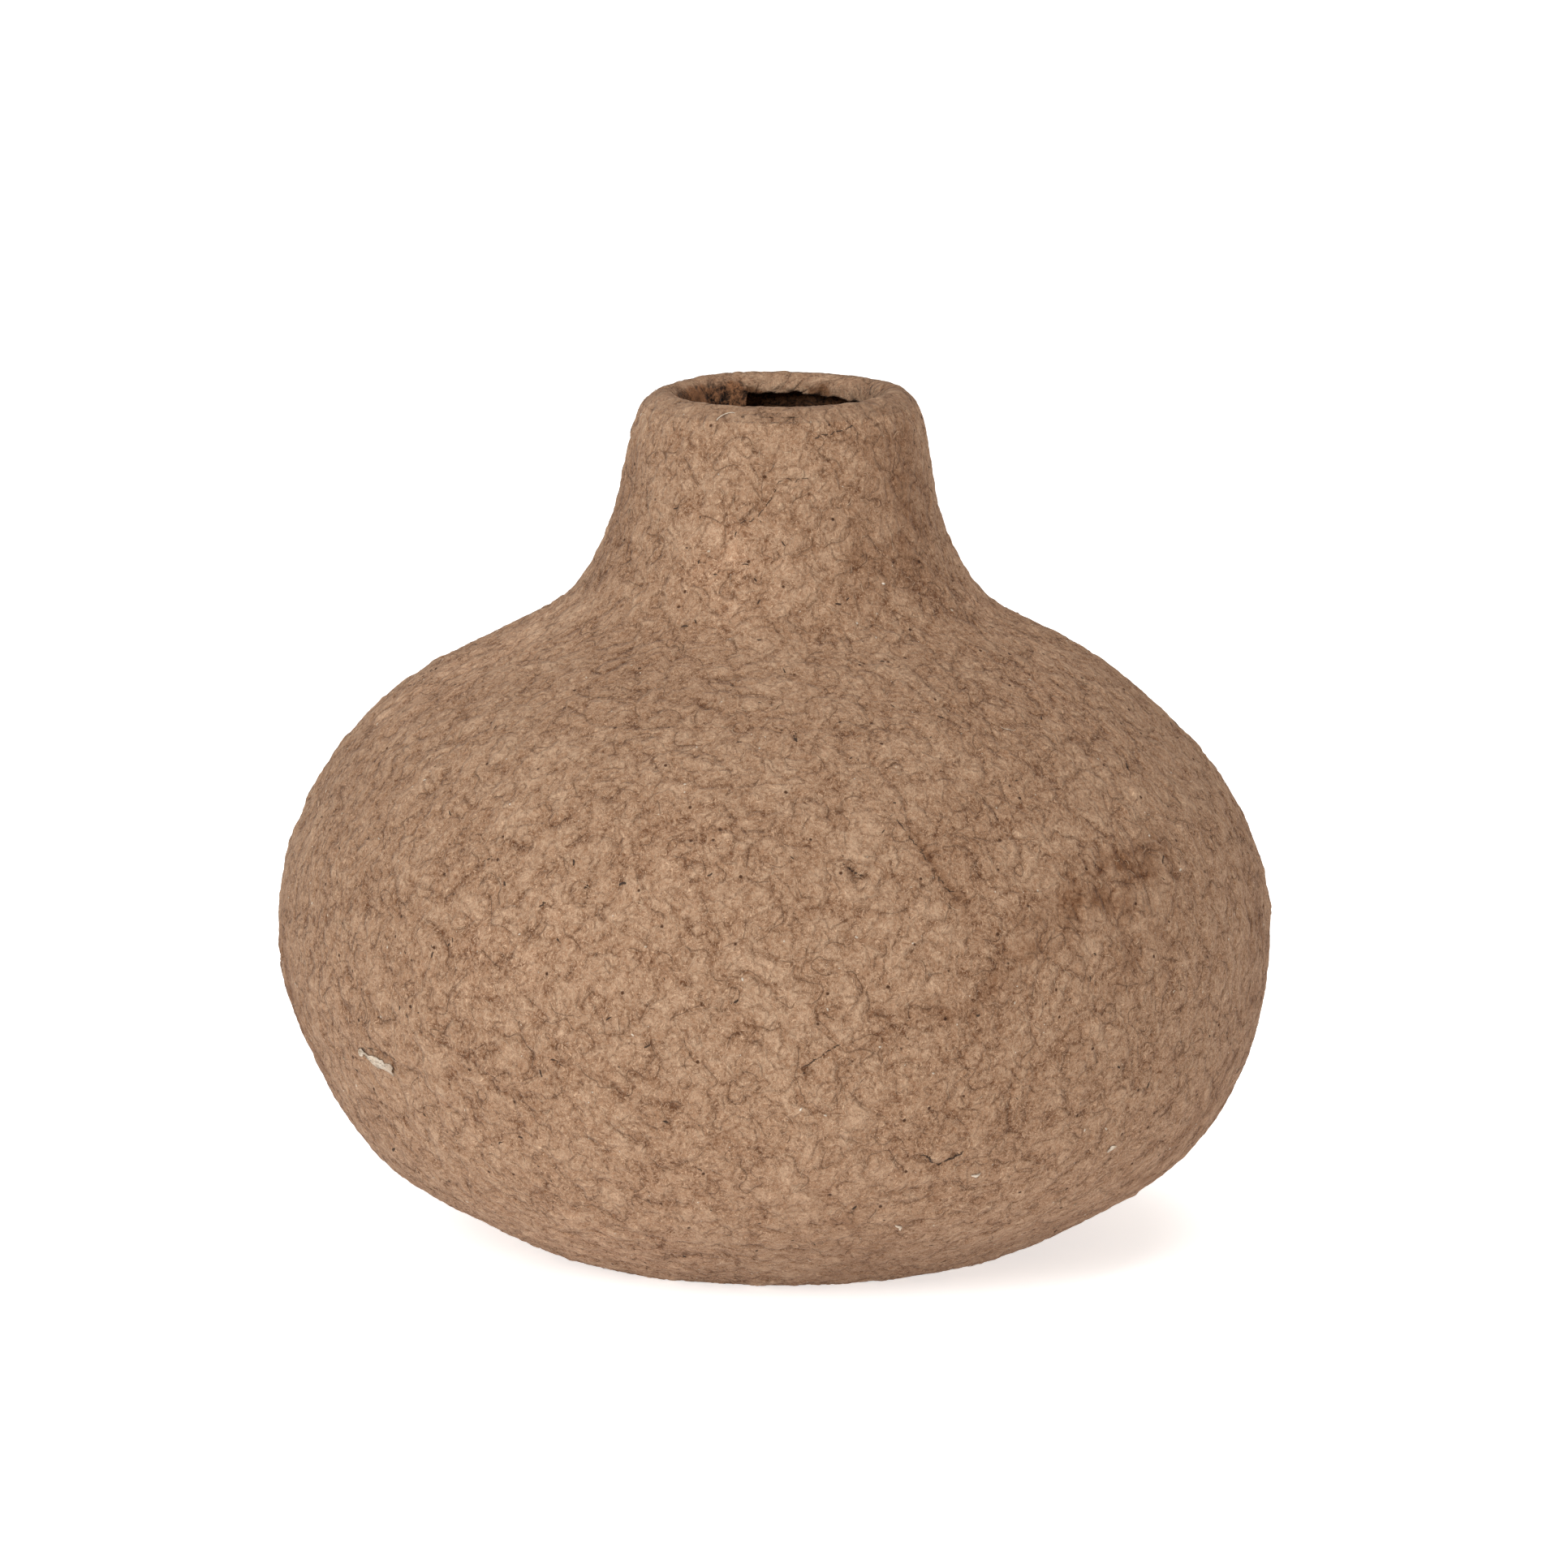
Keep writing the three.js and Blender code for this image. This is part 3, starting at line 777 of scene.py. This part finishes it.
def make_lip():
    """The rolled lip with its torn, turned-in edge, and the flap of lining below it."""
    rows = int((OUTLINE_LENGTH_MM - LIP_JOINT_ALONG) / LIP_ROW_STEP_MM)
    along = np.linspace(LIP_JOINT_ALONG, OUTLINE_LENGTH_MM, rows)
    front, hollow, stain = relief_surface(along, COLUMNS)
    angles = ring_angles(COLUMNS)
    bearing = np.degrees(angles)
    flap = smoothstep(FLAP_BEARINGS[0] - FLAP_SOFTNESS, FLAP_BEARINGS[0], bearing)
    flap *= smoothstep(FLAP_BEARINGS[1] + 3 * FLAP_SOFTNESS, FLAP_BEARINGS[1], bearing)
    inwards = np.linspace(0, 1, rows)[:, None]
    ragged = noise(front[-1], 2.2, 81) * 0.7 + noise(front[-1], 5.0, 82) * 1.0
    lift = np.interp(bearing, *np.transpose(EDGE_LIFTS_MM)) - EDGE_RAGGED_MM * ragged
    front[..., 2] += smoothstep(TURN_IN, 1.0, inwards) * (lift * (1 - flap) - FLAP_DROP_MM * flap)
    ring = ring_directions(angles)
    lumps = noise(front, 2.4, 83) * 0.8 + noise(front, 1.2, 84) * 0.6
    front -= (smoothstep(TURN_IN, 0.8, inwards) * flap * (0.6 + 0.7 * lumps))[..., None] * ring
    shown = smoothstep(*LINING_SHARES, inwards + 0.05 * lumps - 0.2 * (1 - flap))
    shown = shown * smoothstep(0, 0.05, flap)
    edge_dirt = smoothstep(*DIRT_SHARES, inwards + 0.3 * noise(front, 2.6, 85)) * (1 - flap)
    # Painted light: the far side of the turned-in face is made paler.
    stain -= FAR_FACE_PAINTED_LIGHT * smoothstep(*FAR_FACE_LIGHT_SHARES, inwards) * np.clip(np.sin(angles), 0, 1)
    stain = np.maximum(stain, 0.9 * edge_dirt + stain * (1 - edge_dirt))
    hollow = hollow * (1 - shown) + shown * np.clip(0.42 - 0.5 * lumps, 0, 1)
    centre = np.array([*LIP_CENTRE, LIP_EDGE_HEIGHT_MM])
    under = np.array([centre + radius * ring + np.array([0, 0, rise]) for radius, rise in LIP_UNDERSIDE])
    under[:3, :, 2] -= FLAP_UNDERSIDE_DROP_MM * flap
    shadow = 0.1 + 0.5 * np.abs(noise(under, 2.0, 87))
    piece = mesh_from_rings(
        "rolled_lip", [front, under], hollow=[hollow, shadow], stain=[stain, 0], lining=[shown, 1])
    finish_piece(piece, LIP_PAPER, "rolled_paper", "rim_roll")


def lining_relief(points):
    """Height in mm and hollowness of the inside, which the material paints as shade: overlapping scraps of
    paper, lumpy with glue.
    """
    bent = warped(points, 6.0, 2.0, 51)
    lumps = 0.9 * np.abs(noise(bent, 7.0, 52)) + 0.5 * np.abs(noise(bent, 3.2, 53)) - 0.35
    overlap = sum(
        smoothstep(-0.04, 0.04, noise(points, size, seed)) for size, seed in ((24.0, 54), (31.0, 55))
    )
    return lumps + 0.25 * (overlap - 1), np.clip(0.75 - 0.6 * lumps, 0, 1)


def inside_wall(along):
    """The lumpy inside of the wall: its points and their hollowness."""
    points, normals = surface_grid(along, INNER_COLUMNS, WALL_MM)
    relief, hollow = lining_relief(points)
    return points - relief[..., None] * normals, hollow


def make_shell(name, node, low, high):
    """A ring of shell between two distances along the outline."""
    inside, hollow = inside_wall(np.linspace(high, low, int((high - low) / INNER_ROW_STEP_MM)))
    outer, _ = surface_grid(np.linspace(low, high, HIDDEN_ROWS // 3), INNER_COLUMNS, SHELL_MM)
    piece = mesh_from_rings(name, [outer, inside], hollow=[GLUED, hollow], stain=[0, 0])
    finish_piece(piece, SHADED_SHELL_PAPER, "inner_shell", node)


FOOT_SEAM_MM = 0.3  # between the dish's foot and the skin
FOOT_ROWS, FLOOR_ROWS, BASE_WALL_ROWS, BASE_INSIDE_ROWS = 70, 56, 16, 22
FOOT_FELT_MM, FOOT_EDGE_WIDTH_MM = (0.25, 0.7), 4  # its usual and greatest hollows; they fade at its edge
POLE_MM = 0.6  # the radius of the smallest ring of a disc
BASE_FLOOR_MM = 7.0
BASE_START_MM = 1.2  # how far up the outline the dish's wall leaves its foot


def make_base():
    """The dish: a felted flat foot, a wall glued inside the skin, and the lumpy floor of the inside."""
    foot_radius = OUTLINE_PATH[0, 0] - FOOT_SEAM_MM
    centre = OUTLINE_PATH[0, 2:4]
    angles = ring_angles(COLUMNS // 2)
    ring = ring_directions(angles)

    def disc(radii, height):
        return np.array([[*centre, height] + r * ring for r in radii])

    foot_radii = np.linspace(POLE_MM, foot_radius, FOOT_ROWS)
    foot = disc(foot_radii, 0.0)
    relief, foot_hollow = pulp_relief(foot)
    inner_share = smoothstep(foot_radius, foot_radius - FOOT_EDGE_WIDTH_MM, foot_radii)[:, None]
    foot[..., 2] = np.clip(FOOT_FELT_MM[0] - relief, 0, FOOT_FELT_MM[1]) * inner_share
    wall_along = np.linspace(BASE_START_MM, BASE_TOP_ALONG, BASE_WALL_ROWS)
    wall, _ = surface_grid(wall_along, COLUMNS // 2, SHELL_MM)
    inside_along = np.linspace(BASE_TOP_ALONG, along_at(BASE_FLOOR_MM + 2), BASE_INSIDE_ROWS)
    inside, normals = surface_grid(inside_along, COLUMNS // 2, WALL_MM)
    floor = disc(np.linspace(foot_radius - 1.5, POLE_MM, FLOOR_ROWS), BASE_FLOOR_MM)
    inner = np.concatenate([inside, floor])
    relief, hollow = lining_relief(inner)
    inner[:len(inside)] -= relief[:len(inside), :, None] * normals
    inner[len(inside):, :, 2] += relief[len(inside):]
    piece = mesh_from_rings(
        "glued_base", [foot, wall, inner], poles=True,
        hollow=[foot_hollow, GLUED, hollow], stain=[0, 0, 0], lining=[0, GLUED, 1])
    finish_piece(piece, PULP, "inner_shell", "base_dish")


BAND_ROWS, BAND_TEAR_MM, BAND_CREASE_MM = 24, 1.2, 0.12


def make_band(name, node, reach):
    """A glued strip of paper over a joint, with torn edges."""
    low, high = reach
    share = np.linspace(0, 1, BAND_ROWS)
    angles = ring_angles(INNER_COLUMNS)
    ring = USUAL_RADIUS_MM * ring_directions(angles)
    tears = [BAND_TEAR_MM * smoothstep(-0.6, 0.8, noise(ring, 5.0, seed)) for seed in (61, 62)]
    along = low + tears[0] + share[:, None] * (high - low - tears[0] - tears[1])
    outer, normals = surface_at(along, angles[None], np.full_like(along, BAND_MM[0]))
    creases = np.abs(noise(outer, 6.0, 63))
    outer -= (BAND_CREASE_MM * creases)[..., None] * normals
    inner, _ = surface_at(along[::-1], angles[None], np.full_like(along, BAND_MM[1]))
    hollow = [0.3 + 0.4 * creases, GLUED]
    piece = mesh_from_rings(name, [outer, inner], hollow=hollow, stain=[0, 0])
    finish_piece(piece, BAND_PAPER, "band_paper", node)


# ---------- scraps, specks and threads

CREST_ROW = int(np.argmax(OUTLINE_PATH[:, 1]))
SCRAP_LIFT_MM, SCRAP_THICKNESS_MM, SCRAP_CURL_MM = 0.04, 0.14, 0.5
SCRAP_SOAKED = 0.55  # how brown one end of each scrap is


def resting(points, lift):
    """Points near the outside, moved to a lift above the relief, by their bearing and height."""
    along = np.interp(points[..., 2], OUTLINE_PATH[:CREST_ROW, 1], OUTLINE_ALONG[:CREST_ROW])
    _, _, cx, cy, _, _ = outline_at(along)
    angles = np.arctan2(points[..., 1] - cy, points[..., 0] - cx) % TAU
    base, normals = surface_at(along, angles)
    relief, _ = pulp_relief(base)
    return base + (relief + lift)[..., None] * normals


def make_scrap(name, node):
    """A torn scrap of white paper, laid over the lumps it is pressed on."""
    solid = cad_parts[node].data
    shape = bmesh.new()
    shape.from_mesh(solid)
    bmesh.ops.remove_doubles(shape, verts=shape.verts, dist=1e-6)
    bmesh.ops.subdivide_edges(shape, edges=shape.edges, cuts=3, use_grid_fill=True)
    bmesh.ops.triangulate(shape, faces=shape.faces)
    points = np.array([v.co for v in shape.verts]) / MM
    bare = resting(points, np.zeros(len(points)))
    heights = np.linalg.norm(points - bare, axis=-1)
    top = heights > np.median(heights)
    curl = 0.18 + 0.3 * noise(points, 1.8, 91) + 0.15 * noise(points, 0.9, 92)
    frayed = warped(points, 1.1, 0.16, 94)
    lift = SCRAP_LIFT_MM + np.clip(curl, 0, SCRAP_CURL_MM) + np.where(top, SCRAP_THICKNESS_MM, 0.0)
    laid = resting(frayed, lift)
    for vertex, place in zip(shape.verts, laid * MM):
        vertex.co = place
    mesh = bpy.data.meshes.new(name)
    shape.to_mesh(mesh)
    shape.free()
    smooth_shaded(mesh)
    middle = points.mean(axis=0)
    across, _ = unrolled(points, math.degrees(math.atan2(middle[1], middle[0])), middle[2])
    soaked = SCRAP_SOAKED * smoothstep(0.2, 0.6, across / np.abs(across).max())
    add_layer(mesh, "hollow", np.clip(0.5 * noise(points, 2.2, 93), 0, 1))
    add_layer(mesh, "stain", soaked)
    finish_piece(placed(name, mesh), WHITE_PAPER, "white_paper", node)


def strand(path, normals, width, thickness):
    """Points and faces of one flat closed strand that runs along a path, [point, xyz] in mm."""
    along = np.gradient(path, axis=0)
    across = np.cross(normals, along)
    across /= np.linalg.norm(across, axis=-1, keepdims=True)
    taper = np.sin(np.linspace(0.12, 0.88, len(path)) * math.pi)[:, None] ** 0.5
    out, up = 0.5 * width * across, 0.5 * thickness * normals
    points = np.concatenate([path + taper * side for side in (out, up, -out, -up)])
    count = len(path)
    faces = []
    for side in range(4):
        here, there = side * count, (side + 1) % 4 * count
        faces += [(here + i, there + i, there + i + 1, here + i + 1) for i in range(count - 1)]
    faces.append(tuple(side * count for side in (3, 2, 1, 0)))
    faces.append(tuple(side * count + count - 1 for side in range(4)))
    return points, faces


def laid_paths(along, angle, heading, bend, length, lift, steps):
    """Curved paths lying on the relief: one row for each place, heading, bend, length and lift."""
    share = np.linspace(0, 1, steps)
    turn = heading[:, None] + bend[:, None] * share
    step = (length / (steps - 1))[:, None]
    radius = np.interp(along, OUTLINE_ALONG, OUTLINE_PATH[:, 0])[:, None]
    climbs = np.cumsum(np.sin(turn[:, :-1]), axis=1) * step
    rounds = np.cumsum(np.cos(turn[:, :-1]), axis=1) * step / radius
    alongs = np.clip(along[:, None] + np.pad(climbs, ((0, 0), (1, 0))), 0, OUTLINE_LENGTH_MM)
    angles = (angle[:, None] + np.pad(rounds, ((0, 0), (1, 0)))) % TAU
    base, normals = surface_at(alongs, angles)
    relief, _ = pulp_relief(base)
    rise = lift[:, None] * (0.4 + np.sin(math.pi * share))
    return base + (relief + rise)[..., None] * normals, normals


STRAND_FLOOR_MM = 0.2  # a strand whose path goes below this height is left out


def make_strands(name, material, slot, paths, normals, widths, thickness):
    """One piece of many strands, each along its own path."""
    points, faces = [], []
    for path, path_normals, width in zip(paths, normals, widths):
        if path[:, 2].min() < STRAND_FLOOR_MM:
            continue
        strand_points, strand_faces = strand(path, path_normals, width, thickness)
        start = len(points)
        points += list(strand_points * MM)
        faces += [[start + i for i in face] for face in strand_faces]
    mesh = bpy.data.meshes.new(name)
    mesh.from_pydata(points, [], faces)
    smooth_shaded(mesh)
    finish_piece(placed(name, mesh), material, slot)


def scattered(rng, count):
    """Places on the outside, spread evenly over its area: distances along the outline, and angles."""
    weights = OUTLINE_PATH[:, 0] * (OUTLINE_ALONG < LIP_JOINT_ALONG + 4)
    rows = rng.choice(len(OUTLINE_ALONG), count, p=weights / weights.sum())
    return OUTLINE_ALONG[rows] + rng.uniform(-0.25, 0.25, count), rng.uniform(0, TAU, count)


FIBRE_COUNT, SPECK_COUNT, DARK_BIT_COUNT = 1500, 900, 420


def make_loose_fibres():
    """Single pale fibres that stand up a little from the felt."""
    rng = np.random.default_rng(7)
    count = FIBRE_COUNT
    along, angle = scattered(rng, count)
    heading, bend = rng.uniform(0, TAU, count), rng.normal(0, 1.1, count)
    length, lift = rng.uniform(0.8, 2.4, count), rng.uniform(0.03, 0.12, count)
    width = rng.uniform(0.09, 0.16, count)
    paths, normals = laid_paths(along, angle, heading, bend, length, lift, steps=7)
    make_strands("loose_fibres", LOOSE_FIBRE, "pulp_skin", paths, normals, width, thickness=0.07)


def make_white_specks():
    """Crumbs of white paper in the felt."""
    rng = np.random.default_rng(8)
    count = SPECK_COUNT
    along, angle = scattered(rng, count)
    size = np.clip(rng.gamma(3.0, 0.06, count), 0.06, 0.45)
    heading, length = rng.uniform(0, TAU, count), size * rng.uniform(1.0, 1.8, count)
    bend, lift = np.zeros(count), np.full(count, 0.02)
    paths, normals = laid_paths(along, angle, heading, bend, length, lift, steps=4)
    make_strands("white_specks", WHITE_PAPER, "white_paper", paths, normals, size, thickness=0.14)


# More of the dark bits, on the neck: how wide they are, and their bearings and heights.
NECK_BIT_MM = 0.26
NECK_BITS = [
    (-128, 136.5), (-118, 135), (-109, 126), (-99, 127.5), (-97, 125.5), (-87, 131), (-116, 128),
    (-113, 118.5), (-68, 122), (-95, 122), (-104, 133), (-122, 130),
]


def make_dark_bits():
    """Chips of black and dark brown fibre pressed into the pulp."""
    rng = np.random.default_rng(9)
    along, angle = scattered(rng, DARK_BIT_COUNT)
    along = np.append(along, [along_at(height) for _, height in NECK_BITS])
    angle = np.append(angle, [math.radians(bearing) % TAU for bearing, _ in NECK_BITS])
    count = len(along)
    size = np.clip(rng.gamma(3.0, 0.075, count), 0.12, 0.5)
    size[-len(NECK_BITS):] = NECK_BIT_MM
    heading, bend = rng.uniform(0, TAU, count), rng.normal(0, 0.6, count)
    length, lift = size * rng.uniform(1.5, 4.5, count), np.full(count, 0.01)
    paths, normals = laid_paths(along, angle, heading, bend, length, lift, steps=5)
    make_strands("dark_bits", DARK_BIT, "pulp_skin", paths, normals, size, thickness=0.12)


CRACK_SPOTS = 9  # points along each straight stretch of a crack, and along each piece of a fine one
FINE_CRACK_MM, FINE_GAP_SPOTS = 0.21, 2  # up to that width a crack is broken, with a gap after each piece
SHORT_CRACK_SPOTS = 4  # a rest that is no longer than this is left out


def make_crack_shade_lines():
    """A dark line of painted shade along the bottom of each crack, broken where the crack is fine."""
    rng = np.random.default_rng(10)
    paths, normals, widths = [], [], []
    for width, line in CRACKS:
        bearing, height = np.transpose(line)
        spots = np.linspace(0, len(line) - 1, CRACK_SPOTS * (len(line) - 1) + 1)
        corners = np.arange(len(line))
        angle = np.radians(np.interp(spots, corners, bearing) + rng.normal(0, 0.16, len(spots))) % TAU
        along = np.array([along_at(h) for h in np.interp(spots, corners, height)])
        along += rng.normal(0, 0.09, len(spots))
        base, up = surface_at(gaussian_rows(along, 1.0), angle)
        relief, _ = pulp_relief(base)
        path = base + (gaussian_rows(relief, 1.0) + 0.04)[:, None] * up
        piece, gap = (len(path), 0) if width > FINE_CRACK_MM else (CRACK_SPOTS, FINE_GAP_SPOTS)
        for start in range(0, len(path) - SHORT_CRACK_SPOTS, piece):
            part = slice(start, start + piece - gap)
            paths.append(path[part])
            normals.append(up[part])
            widths.append(width)
    make_strands("crack_shade_lines", DARK_BIT, "pulp_skin", paths, normals, widths, thickness=0.12)


# The long white threads that lie on the vase: bearing, height, heading, bend, length, width.
THREADS = [(-117.0, 152.6, 70, -85, 3.9, 0.27), (-50.3, 101.6, -50, 60, 3.2, 0.16)]


def make_threads():
    bearing, height, heading, bend, length, width = np.array(THREADS).T
    along = np.array([along_at(h) for h in height])
    angle, lift = np.radians(bearing) % TAU, np.full(len(THREADS), 0.08)
    paths, normals = laid_paths(along, angle, np.radians(heading), np.radians(bend), length, lift, steps=16)
    make_strands("white_threads", WHITE_PAPER, "white_paper", paths, normals, width, thickness=0.12)


# ---------- floor, light and camera

FLOOR_HALF_M = 12.0
FLOOR_DROP_M = 0.00003  # below the foot, so that the two flat faces do not mix
FLOOR_GREY, FLOOR_GLOW = 0.93, 0.62


def make_floor():
    mesh = bpy.data.meshes.new("floor")
    signs = ((-1, -1), (1, -1), (1, 1), (-1, 1))
    corners = [(x * FLOOR_HALF_M, y * FLOOR_HALF_M, -FLOOR_DROP_M) for x, y in signs]
    mesh.from_pydata(corners, [], [(0, 1, 2, 3)])
    floor = placed("floor", mesh)
    material = bpy.data.materials.new("floor_white")
    nodes = Nodes(material)
    shader = nodes.add("BsdfPrincipled", {
        "Base Color": (FLOOR_GREY, FLOOR_GREY, FLOOR_GREY, 1), "Roughness": 0.9,
        "Emission Color": (1, 1, 1, 1), "Emission Strength": FLOOR_GLOW,
    })
    nodes.add("OutputMaterial", {"Surface": shader.outputs[0]})
    floor.data.materials.append(material)


# The square lamps, all aimed at the middle of the vase: name, place, side in metres, watts and colour.
LAMPS = [
    ("key", (-1.05, -1.7, 1.0), 0.8, 28.0, (0.95, 0.99, 1.0)),
    ("low", (-1.3, -1.2, 0.2), 1.0, 4.0, (1, 1, 1)),
    ("top", (0.4, -0.2, 1.7), 1.0, 13.4, (1, 0.95, 0.9)),
    ("fill", (1.6, -1.2, 0.6), 1.4, 1.0, (1, 0.95, 0.9)),
]
LAMP_AIM = Vector((0, 0, 0.08))
WORLD_COLOUR, WORLD_STRENGTH = (1, 0.96, 0.92, 1), 0.5


def light_studio():
    world = bpy.data.worlds.new("studio")
    world.use_nodes = True
    background = world.node_tree.nodes["Background"]
    background.inputs["Color"].default_value = WORLD_COLOUR
    background.inputs["Strength"].default_value = WORLD_STRENGTH
    bpy.context.scene.world = world
    for name, place, side, power, colour in LAMPS:
        light = bpy.data.lights.new(name, "AREA")
        light.size = side
        light.energy = power
        light.color = colour
        lamp = placed(name, light)
        lamp.location = place
        lamp.rotation_euler = (LAMP_AIM - Vector(place)).to_track_quat("-Z", "Y").to_euler()


CAMERA_DISTANCE_M, CAMERA_ELEVATION = 1.8, math.radians(10)
VIEW_CENTRE = Vector((0.0018, 0, 0.0829))
LENS_MM, SENSOR_MM, CLIP_END_M = 228.3, 36.0, 50


def make_camera():
    camera = bpy.data.cameras.new("camera")
    camera.lens = LENS_MM
    camera.sensor_width = SENSOR_MM
    camera.clip_end = CLIP_END_M
    eye = placed("camera", camera)
    towards = Vector((0, math.cos(CAMERA_ELEVATION), -math.sin(CAMERA_ELEVATION)))
    eye.location = VIEW_CENTRE - CAMERA_DISTANCE_M * towards
    eye.rotation_euler = towards.to_track_quat("-Z", "Y").to_euler()
    bpy.context.scene.camera = eye


make_coat()
make_lip()
make_base()
make_shell("inner_shell_lower", "belly_ring", BASE_TOP_ALONG + GLUE_MM, BELLY_TOP_ALONG)
make_shell("inner_shell_upper", "upper_dome", BELLY_TOP_ALONG + GLUE_MM, DOME_TOP_ALONG)
make_band("base_band", "base_joint_band", BAND_REACHES[0])
make_band("belly_band", "belly_joint_band", BAND_REACHES[1])
make_scrap("torn_white_scrap", "white_paper_scrap")
make_scrap("white_fleck_right", "paper_fleck_right")
make_scrap("white_fleck_front", "paper_fleck_front")
make_scrap("white_fleck_low", "paper_fleck_low")
make_loose_fibres()
make_white_specks()
make_dark_bits()
make_crack_shade_lines()
make_threads()
make_floor()
light_studio()
make_camera()
bpy.context.scene.view_settings.view_transform = "Standard"
